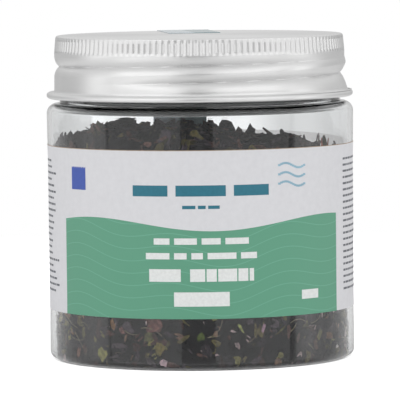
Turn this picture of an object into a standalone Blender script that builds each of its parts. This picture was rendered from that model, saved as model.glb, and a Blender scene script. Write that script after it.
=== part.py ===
"""Clear screw-lid jar filled with dried, chopped seaweed pieces, with a wrap label and a seal strip.

Metres, +Z up. The origin is the centre of the jar's base, on the plane that it stands on.
The front is -Y. The lid's screw axis is the Z axis.
"""
import math
import random

import bmesh
import bpy
from mathutils import Matrix, Vector

MM = 0.001

# Roundness: columns of faces round the lid, and how many finer columns the knurl has for each.
COLUMNS = 72
KNURL_SPLIT = 4
JAR_COLUMNS = 60
LABEL_COLUMNS = 48

# Gap left between pieces that touch, and a vertex merge distance.
GAP = 0.3 * MM
MERGE = 0.001 * MM

# Jar. It stands on a ring round its pushed-up middle.
BODY_RADIUS = 37.5 * MM
WALL = 1.2 * MM
HEEL_RADIUS = 1.2 * MM
BASE_RING_INNER = 32.8 * MM
PUSH_UP = 1.0 * MM
PUSH_UP_SLOPE = 1.2 * MM
FLOOR_LOW = 1.4 * MM
FLOOR_TOP = 2.2 * MM
SHOULDER_START = 59.95 * MM
SHOULDER_RADIUS = 2.4 * MM
COLLAR_RADIUS = 34.25 * MM
COLLAR_TOP = 65.2 * MM
COLLAR_STEP = 0.05 * MM
NECK_RADIUS = 33.4 * MM
NECK_BORE = 31.9 * MM
NECK_BLEND = 0.6 * MM
RIM_TOP = 76.7 * MM
RIM_BEVEL = 0.45 * MM

# Screw thread, right-handed: the lid's rolled groove, and the jar's ridge half a pitch above it.
PITCH = 4.0 * MM
GROOVE_START_DEG = -140.0
GROOVE_TURN_DEG = 485.0
GROOVE_START_Z = 67.75 * MM
GROOVE_DEPTH = 1.15 * MM
GROOVE_HALF_WIDTH = 1.7 * MM
GROOVE_RUN_IN_DEG = 30.0
RIDGE_START_DEG = -121.3
RIDGE_TURN_DEG = 430.0
RIDGE_STEPS = 72
RIDGE_HEIGHT = 1.05 * MM
RIDGE_SINK = 0.5 * MM
RIDGE_ROOT_HALF_WIDTH = 1.0 * MM
RIDGE_CREST_HALF_WIDTH = 0.2 * MM
RIDGE_RUN_OUT_DEG = 24.0
RIDGE_END_SHARE = -0.2

# Lid, of rolled sheet: a flat top with a round edge, a knurled band, a threaded skirt and a curled rim.
LID_TOP = 78.8 * MM
LID_TOP_RADIUS = 34.2 * MM
LID_CORNER_DEG = (50, 15)
LID_SHEET = 0.5 * MM
SKIRT_RADIUS = 35.55 * MM
SKIRT_FOOT_RADIUS = 35.65 * MM
SKIRT_FOOT_Z = 65.7 * MM
KNURL_TOP = 78.0 * MM
KNURL_TOP_RADIUS = 35.2 * MM
KNURL_BOTTOM = 74.6 * MM
KNURL_BOTTOM_RADIUS = 35.5 * MM
KNURL_DEPTH = 0.4 * MM
THREAD_ZONE_TOP = 73.9 * MM
THREAD_ZONE_BOTTOM = 66.4 * MM
THREAD_ROWS = 10
CURL_RADIUS = 0.82 * MM
CURL_CENTRE_R = 36.65 * MM
CURL_CENTRE_Z = 64.45 * MM
CURL_SPAN_DEG = (84, -156)

# Liner disc inside the lid.
LINER_RADIUS = 33.6 * MM
LINER_THICKNESS = 1.0 * MM

# Wrap label: its two ends nearly meet at the back.
LABEL_BOTTOM = 12.3 * MM
LABEL_TOP = 52.45 * MM
LABEL_THICKNESS = 0.25 * MM
LABEL_OPEN_DEG = 8.0

# Seal strip, from just behind the lid's middle over its back edge and down the jar.
STRIP_WIDTH = 12.8 * MM
STRIP_START_SHARE = 0.26
STRIP_THICKNESS = 0.25 * MM
STRIP_TURN_DEG = 7.0
STRIP_JAR_TURN_DEG = 8.0
STRIP_EDGE_REACH = 0.6 * MM
STRIP_LID_END = 63.7 * MM
STRIP_JAR_TOP = 62.5 * MM
STRIP_JAR_BOTTOM = 53.0 * MM
STRIP_ACROSS = 6

# Seaweed: a mounded core, and the curled flakes that cover it.
MOSS_SEED = 9
MOSS_RADIUS = 34.9 * MM
MOSS_BOTTOM = 2.5 * MM
MOSS_COLUMNS = 30
HEAP_MIDDLE_Z = 54.9 * MM
HEAP_DOME = 1.2 * MM
HEAP_WAVE = 0.4 * MM
HEAP_LEVEL_RIGHT = 0.05
HEAP_FALL_RIGHT = 7.5 * MM
HEAP_LEVEL_LEFT = -0.65
HEAP_FALL_LEFT = 8.5 * MM
FLAKE_THICKNESS = 0.7 * MM
FLAKE_LIMIT_RADIUS = 35.9 * MM
FLAKE_LIMIT_LOW = 3.0 * MM
FLAKE_CORNERS = 5
# Rows of flakes against the wall: height, number, size. They are fewer behind the label.
SIDE_ROWS = ((6.6 * MM, 23, 10.5 * MM), (11.4 * MM, 21, 10.5 * MM), (23 * MM, 7, 13 * MM),
             (34 * MM, 7, 13 * MM), (44 * MM, 9, 12 * MM))
EDGE_FLAKES = 24
EDGE_FLAKE_SIZE = 9.5 * MM
EDGE_FLAKE_DEPTH = (0.8 * MM, 3.0 * MM)
# How wide a flake is for its length, how its size varies, and how far its corners are pulled in.
FLAKE_WIDTH_SHARE = (0.6, 0.85)
FLAKE_SIZE_SHARE = (0.85, 1.2)
FLAKE_CORNER_SHARE = (0.72, 1.0)
TOP_FLAKE_SIZE = 9.2 * MM
# Rings of loose flakes on top: distance from the axis, number.
TOP_RINGS = ((30.6 * MM, 21), (24.0 * MM, 16), (17.5 * MM, 12), (11.0 * MM, 8), (4.5 * MM, 4))


def clear_scene():
    for obj in list(bpy.data.objects):
        bpy.data.objects.remove(obj, do_unlink=True)


def make_material(name, colour, roughness, metallic=0.0, alpha=1.0):
    material = bpy.data.materials.new(name)
    material.use_nodes = True
    shader = material.node_tree.nodes["Principled BSDF"]
    shader.inputs["Base Color"].default_value = (*colour, 1.0)
    shader.inputs["Roughness"].default_value = roughness
    shader.inputs["Metallic"].default_value = metallic
    shader.inputs["Alpha"].default_value = alpha
    return material


def add_object(name, bm, material, sharp_deg=35.0):
    """Turn a bmesh into a shaded object; its origin is on the screw axis."""
    bmesh.ops.recalc_face_normals(bm, faces=bm.faces)
    mesh = bpy.data.meshes.new(name)
    bm.to_mesh(mesh)
    bm.free()
    obj = bpy.data.objects.new(name, mesh)
    bpy.context.collection.objects.link(obj)
    obj.data.materials.append(material)
    mesh.shade_smooth()
    mesh.set_sharp_from_angle(angle=math.radians(sharp_deg))
    return obj


def polar(radius, angle, z):
    return Vector((radius * math.cos(angle), radius * math.sin(angle), z))


def arc(centre_r, centre_z, radius, start_deg, end_deg, count):
    """Points of a round stretch of a turned outline, as (radius, height)."""
    points = []
    for i in range(count):
        angle = math.radians(start_deg + (end_deg - start_deg) * i / (count - 1))
        points.append((centre_r + radius * math.cos(angle), centre_z + radius * math.sin(angle)))
    return points


def turned(outline, columns):
    """Spin a closed (radius, height) outline that starts and ends on the axis."""
    bm = bmesh.new()
    verts = [bm.verts.new((r, 0.0, z)) for r, z in outline]
    edges = [bm.edges.new(pair) for pair in zip(verts, verts[1:])]
    bmesh.ops.spin(bm, geom=verts + edges, axis=(0, 0, 1), cent=(0, 0, 0), steps=columns,
                   angle=math.tau, use_merge=True)
    bmesh.ops.remove_doubles(bm, verts=bm.verts, dist=MERGE)
    return bm


def skin_sections(bm, sections):
    """Join closed cross-sections of equal count into a tube with flat ends."""
    for near, far in zip(sections, sections[1:]):
        count = len(near)
        for i in range(count):
            j = (i + 1) % count
            bm.faces.new((near[i], near[j], far[j], far[i]))
    bm.faces.new(sections[0])
    bm.faces.new(reversed(sections[-1]))


def join_by_boolean(obj, other, solver="EXACT"):
    """Fuse another object, or every object of a collection, into this one."""
    modifier = obj.modifiers.new("fuse", "BOOLEAN")
    modifier.operation = "UNION"
    modifier.solver = solver
    if isinstance(other, bpy.types.Collection):
        modifier.operand_type = "COLLECTION"
        modifier.collection = other
        parts = list(other.objects)
    else:
        modifier.object = other
        parts = [other]
    bpy.context.view_layer.update()
    depsgraph = bpy.context.evaluated_depsgraph_get()
    mesh = bpy.data.meshes.new_from_object(obj.evaluated_get(depsgraph))
    obj.modifiers.clear()
    obj.data = mesh
    for part in parts:
        bpy.data.objects.remove(part, do_unlink=True)


def bump(distance, half_width):
    """Smooth hump: 1 at the middle, 0 at half_width and beyond."""
    u = abs(distance) / half_width
    return math.cos(u * math.pi / 2) ** 2 if u < 1.0 else 0.0


def run_in(turned_deg, whole_deg, ramp_deg):
    """How far a thread has risen at a place along it: it fades in and out over ramp_deg."""
    if turned_deg < 0 or turned_deg > whole_deg:
        return 0.0
    share = min(turned_deg, whole_deg - turned_deg, ramp_deg) / ramp_deg
    return math.sin(share * math.pi / 2) ** 2


def groove_depth(angle, z):
    """Depth of the lid's rolled thread groove at an angle round the lid and a height."""
    depth = 0.0
    start = math.radians(GROOVE_START_DEG)
    first = (angle - start) % math.tau
    for turn in range(2):
        along = math.degrees(first + math.tau * turn)
        centre = GROOVE_START_Z + PITCH * along / 360.0
        share = run_in(along, GROOVE_TURN_DEG, GROOVE_RUN_IN_DEG)
        depth = max(depth, GROOVE_DEPTH * share * bump(z - centre, GROOVE_HALF_WIDTH))
    return depth


# Jar.

def jar_outline():
    """Half outline of the jar: up its outside to the rim, then down its inside to the floor's middle."""
    shoulder_r = BODY_RADIUS - SHOULDER_RADIUS
    shoulder_top = SHOULDER_START + SHOULDER_RADIUS
    inner_r = BODY_RADIUS - WALL
    inner_top = shoulder_top - WALL
    outside = [(0, PUSH_UP), (BASE_RING_INNER - PUSH_UP_SLOPE, PUSH_UP), (BASE_RING_INNER, 0)]
    outside += arc(BODY_RADIUS - HEEL_RADIUS, HEEL_RADIUS, HEEL_RADIUS, -90, 0, 4)
    outside += arc(shoulder_r, SHOULDER_START, SHOULDER_RADIUS, 0, 90, 5)
    outside += [(COLLAR_RADIUS, shoulder_top + COLLAR_STEP), (COLLAR_RADIUS, COLLAR_TOP)]
    outside += [(NECK_RADIUS, COLLAR_TOP + NECK_BLEND), (NECK_RADIUS, RIM_TOP - RIM_BEVEL)]
    outside += [(NECK_RADIUS - RIM_BEVEL, RIM_TOP)]
    inside = [(NECK_BORE + RIM_BEVEL, RIM_TOP), (NECK_BORE, RIM_TOP - RIM_BEVEL)]
    inside += [(NECK_BORE, inner_top + NECK_BLEND), (NECK_BORE + NECK_BLEND, inner_top)]
    inside += arc(shoulder_r, SHOULDER_START, SHOULDER_RADIUS - WALL, 90, 0, 4)
    inside += arc(inner_r - HEEL_RADIUS, FLOOR_LOW + HEEL_RADIUS, HEEL_RADIUS, 0, -90, 4)
    inside += [(BASE_RING_INNER, FLOOR_LOW), (BASE_RING_INNER - PUSH_UP_SLOPE, FLOOR_TOP), (0, FLOOR_TOP)]
    return outside + inside


def thread_ridge():
    """The jar's screw thread: a tapered ridge that winds up the neck, sunk into its wall."""
    bm = bmesh.new()
    sections = []
    for i in range(RIDGE_STEPS + 1):
        along = RIDGE_TURN_DEG * i / RIDGE_STEPS
        angle = math.radians(RIDGE_START_DEG + along)
        from_groove = RIDGE_START_DEG - GROOVE_START_DEG + along
        z = GROOVE_START_Z + PITCH * from_groove / 360.0 + PITCH / 2
        share = max(run_in(along, RIDGE_TURN_DEG, RIDGE_RUN_OUT_DEG), RIDGE_END_SHARE)
        inner = NECK_RADIUS - RIDGE_SINK
        outer = NECK_RADIUS + RIDGE_HEIGHT * share
        corners = ((inner, z - RIDGE_ROOT_HALF_WIDTH), (outer, z - RIDGE_CREST_HALF_WIDTH),
                   (outer, z + RIDGE_CREST_HALF_WIDTH), (inner, z + RIDGE_ROOT_HALF_WIDTH))
        sections.append([bm.verts.new(polar(r, angle, height)) for r, height in corners])
    skin_sections(bm, sections)
    return bm


def build_jar():
    clear = make_material("clear_plastic", (0.93, 0.95, 0.96), 0.05, alpha=0.3)
    jar = add_object("jar_body", turned(jar_outline(), JAR_COLUMNS), clear)
    ridge = add_object("jar_thread_ridge", thread_ridge(), clear)
    join_by_boolean(jar, ridge)
    return jar


# Lid.

def lid_rows():
    """Rows of the lid from the middle of its top, down its outside, round the curl and up its inside.

    Each row is (radius, height, kind): plain, knurl, or thread for a row that the groove presses in.
    """
    rows = [(LID_TOP_RADIUS, LID_TOP, "plain")]
    corner = arc(LID_TOP_RADIUS, KNURL_TOP, LID_TOP - KNURL_TOP, *LID_CORNER_DEG, 2)
    rows += [(r, z, "plain") for r, z in corner]
    rows += [(KNURL_TOP_RADIUS, KNURL_TOP, "knurl"), (KNURL_BOTTOM_RADIUS, KNURL_BOTTOM, "knurl")]
    step = (THREAD_ZONE_TOP - THREAD_ZONE_BOTTOM) / (THREAD_ROWS - 1)
    heights = [THREAD_ZONE_TOP - step * i for i in range(THREAD_ROWS)]
    rows += [(SKIRT_RADIUS, z, "thread") for z in heights]
    rows += [(SKIRT_FOOT_RADIUS, SKIRT_FOOT_Z, "plain")]
    curl = arc(CURL_CENTRE_R, CURL_CENTRE_Z, CURL_RADIUS, *CURL_SPAN_DEG, 6)
    rows += [(r, z, "plain") for r, z in curl]
    inside = SKIRT_RADIUS - LID_SHEET
    rows += [(inside, CURL_CENTRE_Z + CURL_RADIUS / 2, "plain")]
    rows += [(inside, z, "thread") for z in reversed(heights)]
    valley = KNURL_DEPTH + LID_SHEET
    rows += [(KNURL_BOTTOM_RADIUS - valley, KNURL_BOTTOM + LID_SHEET, "plain")]
    rows += [(KNURL_TOP_RADIUS - valley, KNURL_TOP, "plain")]
    rows += [(LID_TOP_RADIUS - LID_SHEET, LID_TOP - LID_SHEET, "plain")]
    return rows


def lid_ring(bm, radius, z, kind):
    count = COLUMNS * KNURL_SPLIT if kind == "knurl" else COLUMNS
    ring = []
    for i in range(count):
        angle = math.tau * i / count
        pressed = groove_depth(angle, z) if kind == "thread" else 0.0
        valley = KNURL_DEPTH if kind == "knurl" and i % 2 else 0.0
        ring.append(bm.verts.new(polar(radius - pressed - valley, angle, z)))
    return ring


def skin_rings(bm, near, far):
    """Join two rings, one of which may have several times the other's count."""
    if len(near) == len(far):
        for i in range(len(near)):
            j = (i + 1) % len(near)
            bm.faces.new((near[i], near[j], far[j], far[i]))
        return
    coarse, fine = (near, far) if len(near) < len(far) else (far, near)
    split = len(fine) // len(coarse)
    for i in range(len(coarse)):
        corner, following = coarse[i], coarse[(i + 1) % len(coarse)]
        for k in range(split):
            a, b = fine[i * split + k], fine[(i * split + k + 1) % len(fine)]
            bm.faces.new((corner if k < split / 2 else following, a, b))
        bm.faces.new((corner, fine[i * split + split // 2], following))


def lid_mesh():
    bm = bmesh.new()
    rings = [lid_ring(bm, *row) for row in lid_rows()]
    for near, far in zip(rings, rings[1:]):
        skin_rings(bm, near, far)
    bmesh.ops.contextual_create(bm, geom=rings[0])
    bmesh.ops.contextual_create(bm, geom=rings[-1])
    return bm


def build_lid():
    aluminium = make_material("brushed_aluminium", (0.78, 0.78, 0.77), 0.35, metallic=1.0)
    return add_object("lid_shell", lid_mesh(), aluminium, sharp_deg=50.0)


def build_liner():
    top = LID_TOP - LID_SHEET - GAP
    bottom = top - LINER_THICKNESS
    outline = [(0, bottom), (LINER_RADIUS, bottom), (LINER_RADIUS, top), (0, top)]
    foam = make_material("white_foam", (0.9, 0.9, 0.88), 0.8)
    return add_object("lid_liner", turned(outline, JAR_COLUMNS), foam)


# Paper.

def bent_patch(radius, thickness, bottom, top, middle_deg, span_deg, columns):
    """A strip of paper bent round the screw axis, as a closed solid."""
    bm = bmesh.new()
    corners = ((radius, bottom), (radius + thickness, bottom), (radius + thickness, top), (radius, top))
    sections = []
    for i in range(columns + 1):
        angle = math.radians(middle_deg - span_deg / 2 + span_deg * i / columns)
        sections.append([bm.verts.new(polar(r, angle, z)) for r, z in corners])
    skin_sections(bm, sections)
    return bm


def build_label():
    paper = make_material("label_paper", (0.86, 0.87, 0.87), 0.6)
    bm = bent_patch(BODY_RADIUS + GAP, LABEL_THICKNESS, LABEL_BOTTOM, LABEL_TOP,
                    -90, 360 - LABEL_OPEN_DEG, LABEL_COLUMNS)
    return add_object("body_label", bm, paper)


def strip_material():
    existing = bpy.data.materials.get("seal_paper")
    return existing or make_material("seal_paper", (0.25, 0.45, 0.5), 0.5)


def build_strip_jar():
    radius = BODY_RADIUS + GAP
    span = math.degrees(STRIP_WIDTH / radius)
    bm = bent_patch(radius, STRIP_THICKNESS, STRIP_JAR_BOTTOM, STRIP_JAR_TOP,
                    90 + STRIP_JAR_TURN_DEG, span, STRIP_ACROSS)
    return add_object("seal_strip_jar", bm, strip_material())


def build_strip_lid():
    """The half of the strip on the lid: flat on the top, then down over the knurl to the curl."""
    bm = bmesh.new()
    edge = LID_TOP_RADIUS + STRIP_EDGE_REACH
    curl_side = CURL_CENTRE_R + CURL_RADIUS + GAP
    # Each row: share of the way out to the edge, radius past the edge, height.
    shares = (STRIP_START_SHARE, (STRIP_START_SHARE + 1.0) / 2, 1.0)
    under = [(share, 0.0, LID_TOP + GAP) for share in shares]
    under += [(1.0, KNURL_TOP_RADIUS + GAP - edge, KNURL_TOP)]
    under += [(1.0, KNURL_BOTTOM_RADIUS + GAP - edge, KNURL_BOTTOM)]
    under += [(1.0, curl_side - edge, CURL_CENTRE_Z), (1.0, curl_side - edge, STRIP_LID_END)]
    thick = STRIP_THICKNESS
    over = []
    for share, past, z in under:
        over.append((share, past, z + thick) if past == 0.0 else (share, past + thick, z))
    turn = Matrix.Rotation(math.radians(STRIP_TURN_DEG), 4, "Z")
    sections = []
    for i in range(STRIP_ACROSS + 1):
        x = STRIP_WIDTH * (i / STRIP_ACROSS - 0.5)
        reach = math.sqrt(edge * edge - x * x)
        section = []
        for share, past, z in under + over[::-1]:
            scale = 1.0 + past / edge
            section.append(bm.verts.new(turn @ Vector((x * scale, share * reach * scale, z))))
        sections.append(section)
    skin_sections(bm, sections)
    return add_object("seal_strip_lid", bm, strip_material())


# Seaweed.

def heap_height(x, y):
    """Height of the heap's core: level from the left to the middle, falling away to the right."""
    across = x / BODY_RADIUS
    along = y / BODY_RADIUS
    right = -HEAP_FALL_RIGHT * max(0.0, across - HEAP_LEVEL_RIGHT) ** 1.3
    left = -HEAP_FALL_LEFT * max(0.0, HEAP_LEVEL_LEFT - across)
    waves = HEAP_WAVE * (math.sin(9.0 * across + 1.3) + math.sin(7.0 * along - 0.4))
    return HEAP_MIDDLE_Z + right + left - HEAP_DOME * along * along + waves


def moss_core():
    """The packed inside of the heap, which every flake is rooted in."""
    bm = bmesh.new()
    centre = bm.verts.new((0, 0, heap_height(0, 0)))
    rings = []
    for radius in (MOSS_RADIUS / 3, MOSS_RADIUS * 2 / 3, MOSS_RADIUS):
        ring = []
        for i in range(MOSS_COLUMNS):
            spot = polar(radius, math.tau * i / MOSS_COLUMNS, 0)
            spot.z = heap_height(spot.x, spot.y)
            ring.append(bm.verts.new(spot))
        rings.append(ring)
    bottom = [bm.verts.new((v.co.x, v.co.y, MOSS_BOTTOM)) for v in rings[-1]]
    for i in range(MOSS_COLUMNS):
        bm.faces.new((centre, rings[0][i], rings[0][(i + 1) % MOSS_COLUMNS]))
    for near, far in zip(rings, rings[1:] + [bottom]):
        skin_rings(bm, near, far)
    bm.faces.new(bottom)
    return bm


def flake_outline(rng, length, width):
    """Corners of one torn flake lying flat, round its middle."""
    corners = []
    for i in range(FLAKE_CORNERS):
        angle = math.tau * (i + rng.uniform(-0.22, 0.22)) / FLAKE_CORNERS
        reach = rng.uniform(*FLAKE_CORNER_SHARE)
        corners.append((length / 2 * reach * math.cos(angle), width / 2 * reach * math.sin(angle)))
    return corners


def flake_solid(crown, heel, top, bottom):
    """Close a flake from its two middles and its two rims."""
    bm = bmesh.new()
    crown, heel = bm.verts.new(crown), bm.verts.new(heel)
    top, bottom = [bm.verts.new(co) for co in top], [bm.verts.new(co) for co in bottom]
    for i in range(len(top)):
        j = (i + 1) % len(top)
        bm.faces.new((crown, top[i], top[j]))
        bm.faces.new((heel, bottom[j], bottom[i]))
        bm.faces.new((top[i], bottom[i], bottom[j], top[j]))
    return bm


def keep_flake(flakes, bm, material):
    flake = add_object("flake", bm, material)
    bpy.context.collection.objects.unlink(flake)
    flakes.objects.link(flake)


def side_flake(flakes, rng, angle, z, size, material):
    """A flake pressed against the jar's wall: one side lifts to the wall, the other dips into the mass."""
    length = size * rng.uniform(*FLAKE_SIZE_SHARE)
    corners = flake_outline(rng, length, length * rng.uniform(*FLAKE_WIDTH_SHARE))
    turn = Matrix.Rotation(rng.uniform(0, math.tau), 2)
    dip = rng.uniform(0.05, 0.16)
    lowest = min((turn @ Vector(corner)).y for corner in corners)
    z = max(z, FLAKE_LIMIT_LOW + rng.uniform(0.0, 0.6) * MM - lowest)
    crest = FLAKE_LIMIT_RADIUS - rng.uniform(0.0, 0.35) * MM

    def on_wall(x, y, radius):
        spot = turn @ Vector((x, y))
        return polar(radius, angle + spot.x / MOSS_RADIUS, z + spot.y)

    root = MOSS_RADIUS - rng.uniform(0.5, 0.9) * MM
    top = [on_wall(x, y, crest - dip * (y + length / 2) - 0.1 * abs(x)) for x, y in corners]
    bottom = [on_wall(x, y, root) for x, y in corners]
    keep_flake(flakes, flake_solid(on_wall(0, 0, crest - dip * length / 2), on_wall(0, 0, root), top, bottom),
               material)


def side_row(flakes, rng, z, count, shift, size, material):
    for i in range(count):
        angle = math.tau * (i + shift + rng.uniform(-0.25, 0.25)) / count
        side_flake(flakes, rng, angle, z + rng.uniform(-0.8, 0.8) * MM, size, material)


def edge_row(flakes, rng, material):
    """Flakes along the heap's upper edge, where it meets the wall."""
    for i in range(EDGE_FLAKES):
        angle = math.tau * (i + rng.uniform(-0.25, 0.25)) / EDGE_FLAKES
        rim = polar(MOSS_RADIUS, angle, 0.0)
        z = heap_height(rim.x, rim.y) - rng.uniform(*EDGE_FLAKE_DEPTH)
        side_flake(flakes, rng, angle, z, EDGE_FLAKE_SIZE, material)


def top_flake(flakes, rng, spot, material):
    """A curled flake lying loose on the heap, with its low side sunk in."""
    length = TOP_FLAKE_SIZE * rng.uniform(*FLAKE_SIZE_SHARE)
    width = length * rng.uniform(*FLAKE_WIDTH_SHARE)
    corners = flake_outline(rng, length, width)
    curl = rng.uniform(0.12, 0.34)
    tip = Matrix.Rotation(math.radians(rng.uniform(-26, 26)), 4, "X")
    place = Matrix.Translation(spot) @ Matrix.Rotation(rng.uniform(0, math.tau), 4, "Z") @ tip
    half = FLAKE_THICKNESS / 2

    def lying(x, y, side):
        return place @ Vector((x, y, curl * abs(y) - 0.1 * abs(x) + side * half))

    top = [lying(x, y, 1) for x, y in corners]
    bottom = [lying(x, y, -1) for x, y in corners]
    keep_flake(flakes, flake_solid(lying(0, 0, 1), lying(0, 0, -1), top, bottom), material)


def top_ring(flakes, rng, radius, count, material):
    for i in range(count):
        angle = math.tau * (i + rng.uniform(-0.3, 0.3)) / count
        spot = polar(radius + rng.uniform(-1.2, 1.2) * MM, angle, 0.0)
        spot.z = heap_height(spot.x, spot.y) + rng.uniform(0.0, 0.6) * MM
        top_flake(flakes, rng, spot, material)


def build_moss():
    rng = random.Random(MOSS_SEED)
    dark = make_material("dried_seaweed", (0.07, 0.06, 0.065), 0.75)
    moss = add_object("moss_pieces", moss_core(), dark)
    flakes = bpy.data.collections.new("flakes")
    bpy.context.scene.collection.children.link(flakes)
    for z, count, size in SIDE_ROWS:
        side_row(flakes, rng, z, count, rng.random(), size, dark)
    edge_row(flakes, rng, dark)
    for radius, count in TOP_RINGS:
        top_ring(flakes, rng, radius, count, dark)
    join_by_boolean(moss, flakes, solver="MANIFOLD")
    bpy.data.collections.remove(flakes)
    keep_largest_body(moss)
    return moss


def keep_largest_body(obj):
    """Drop loose scraps and fill hollows that the fusing sealed."""
    bm = bmesh.new()
    bm.from_mesh(obj.data)
    unseen = set(bm.verts)
    bodies = []
    while unseen:
        stack = [unseen.pop()]
        body = list(stack)
        while stack:
            for edge in stack.pop().link_edges:
                for vert in edge.verts:
                    if vert in unseen:
                        unseen.remove(vert)
                        stack.append(vert)
                        body.append(vert)
        bodies.append(body)
    bodies.sort(key=len)
    scraps = [vert for body in bodies[:-1] for vert in body]
    bmesh.ops.delete(bm, geom=scraps, context="VERTS")
    bm.to_mesh(obj.data)
    bm.free()
    obj.data.shade_flat()


def main():
    clear_scene()
    build_jar()
    build_lid()
    build_liner()
    build_label()
    build_strip_lid()
    build_strip_jar()
    build_moss()


main()
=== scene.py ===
"""Looks of the clear screw-lid jar of dried seaweed pieces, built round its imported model. Metres, +Z up."""
import math
import random
from functools import partial

import bpy
import numpy as np
from mathutils import Matrix, Vector


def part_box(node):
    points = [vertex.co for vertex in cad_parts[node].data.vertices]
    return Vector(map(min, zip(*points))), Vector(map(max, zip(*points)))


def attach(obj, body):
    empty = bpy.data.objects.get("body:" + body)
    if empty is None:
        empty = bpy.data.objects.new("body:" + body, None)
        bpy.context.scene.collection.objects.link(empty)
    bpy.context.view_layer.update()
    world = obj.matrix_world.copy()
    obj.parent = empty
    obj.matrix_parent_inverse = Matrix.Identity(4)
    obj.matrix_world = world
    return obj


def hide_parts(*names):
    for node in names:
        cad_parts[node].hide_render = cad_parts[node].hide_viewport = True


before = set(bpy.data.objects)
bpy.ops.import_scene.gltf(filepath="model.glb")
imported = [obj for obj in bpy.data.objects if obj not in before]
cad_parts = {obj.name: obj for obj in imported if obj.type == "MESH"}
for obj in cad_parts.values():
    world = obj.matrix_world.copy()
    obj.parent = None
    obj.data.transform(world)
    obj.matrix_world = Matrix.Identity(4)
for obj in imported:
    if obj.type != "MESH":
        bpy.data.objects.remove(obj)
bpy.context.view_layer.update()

MM = 0.001

# Camera, fitted to the jar's outline, label edges and base in the photograph.
CAMERA_DISTANCE = 1.103
CAMERA_HEIGHT = 0.112
CAMERA_PITCH_DEG = 3.836
CAMERA_ROLL_DEG = 0.62
CAMERA_LENS_MM = 405.7
CAMERA_SENSOR_MM = 36.0
CAMERA_SHIFT = (-0.0021, 0.00125)

# Jar, with the CAD model's main sizes.
BODY_RADIUS = 37.5 * MM
WALL = 1.2 * MM
INNER_RADIUS = BODY_RADIUS - WALL
# How much slimmer the body is than at its shoulder, by height: it tapers a little, most under the label.
BODY_SLIM = ((0, 0.19), (9, 0.2), (14, 0.3), (48, 0.26), (54, 0.08), (60, 0))
HEEL_RADIUS = 1.8 * MM
INNER_HEEL_RADIUS = 0.9 * MM
FLOOR_LOW = 0.6 * MM
FLOOR_TOP = 1.8 * MM
SHOULDER_START = 59.95 * MM
SHOULDER_RADIUS = 2.4 * MM
COLLAR_RADIUS = 34.25 * MM
COLLAR_TOP = 65.2 * MM
NECK_RADIUS = 33.4 * MM
NECK_BORE = 31.9 * MM
NECK_BLEND = 3.5 * MM
RIM_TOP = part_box("jar_body")[1].z

# Screw thread, right-handed.
PITCH = 4.0 * MM
GROOVE_START_DEG = -140.0
GROOVE_TURN_DEG = 485.0
GROOVE_START_Z = 67.75 * MM
GROOVE_DEPTH = 1.2 * MM
GROOVE_HALF_WIDTH = 2.3 * MM
GROOVE_FOOT_REACH = 1.5 * MM
GROOVE_RUN_IN_DEG = 60.0
RIDGE_START_DEG = -121.3
RIDGE_TURN_DEG = 430.0
RIDGE_HEIGHT = 1.05 * MM
RIDGE_HALF_WIDTH = 0.85 * MM
RIDGE_RUN_OUT_DEG = 24.0

# Lid.
LID_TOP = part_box("lid_shell")[1].z
LID_SHEET = 0.5 * MM
LID_TOP_RADIUS = 34.6 * MM
LID_CORNER_RADIUS = 0.55 * MM
SKIRT_RADIUS = 35.55 * MM
KNURL_TOP = 78.0 * MM
KNURL_TOP_RADIUS = 35.2 * MM
KNURL_BOTTOM = 74.6 * MM
KNURL_BOTTOM_RADIUS = 35.5 * MM
KNURL_HIGH = 78.6 * MM
KNURL_DEPTH = 0.28 * MM
KNURL_RIDGES = 144
CURL_RADIUS = 0.76 * MM
CURL_CENTRE_R = 36.71 * MM
CURL_CENTRE_Z = 64.34 * MM
# The rolled thread pushes the sheet out at the right: a swell between its turns, and a flare at its foot.
SWELL_HEIGHT = 0.28 * MM
SWELL_Z = 71.9 * MM
FLARE_HEIGHT = 0.62 * MM
FLARE_TOP_Z = 69.5 * MM

# Label and strip.
LABEL_LOW, LABEL_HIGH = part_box("body_label")[0].z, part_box("body_label")[1].z
LABEL_RADIUS = BODY_RADIUS + 0.02 * MM
LABEL_PAPER = 0.06 * MM
LABEL_BACK_RISE = 1.45 * MM
LABEL_OPEN_DEG = 8.0
FIELD_HALF_LENGTH = 39.8 * MM
FIELD_HEIGHT = 22.4 * MM
GREEN = (0.112, 0.338, 0.222)
PALE_GREEN = (0.15, 0.41, 0.285)
STRIP_WIDTH = 12.8 * MM
STRIP_START_SHARE = 0.26
STRIP_PAPER = 0.1 * MM
STRIP_TURN_DEG = 7.0
STRIP_JAR_TURN_DEG = 8.0
STRIP_EDGE = LID_TOP_RADIUS + 0.2 * MM

# Heap of seaweed.
# Its height (mm) by how far across the jar, from the left wall (-1) to the right one (1).
HEAP_PROFILE = ((-1, 51.8), (-0.95, 52.6), (-0.86, 53.6), (-0.8, 55.0), (-0.76, 54.8), (-0.71, 56.4),
                (-0.64, 56.8), (-0.48, 56.8), (-0.38, 56.2), (-0.3, 56.3), (-0.15, 56.7), (0, 56.3),
                (0.08, 56.1), (0.14, 55.3), (0.2, 54.6), (0.3, 54.0), (0.36, 53.8), (0.5, 53.2),
                (0.57, 53.8), (0.63, 53.4), (0.7, 51.6), (0.8, 50.2), (1, 49.6))
HEAP_TOP = 56.8 * MM
HEAP_DOME = 1.0 * MM
CORE_RADIUS = 35.2 * MM
FLAKE_CLEARANCE = 0.05 * MM
MOSS_SEED = 5
FLAKE_KINDS = 14
WALL_FLAKES = 2900
TOP_FLAKES = 2300
# Higher up, out of the strongest light, the flakes get painted shade: darker tints, and none of the lightest
# kinds.
PAINTED_SHADE_FROM = 45 * MM
LIGHT_SHARE_AT_WALL = 0.84
LIGHT_SHARE_ON_TOP = 0.8
CORE_TINT = (0.007, 0.006, 0.008)
STEMS = 70
STEM_SIDES = 5
STEM_STEPS = 7
STEM_TINT = (0.34, 0.31, 0.2)

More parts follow.
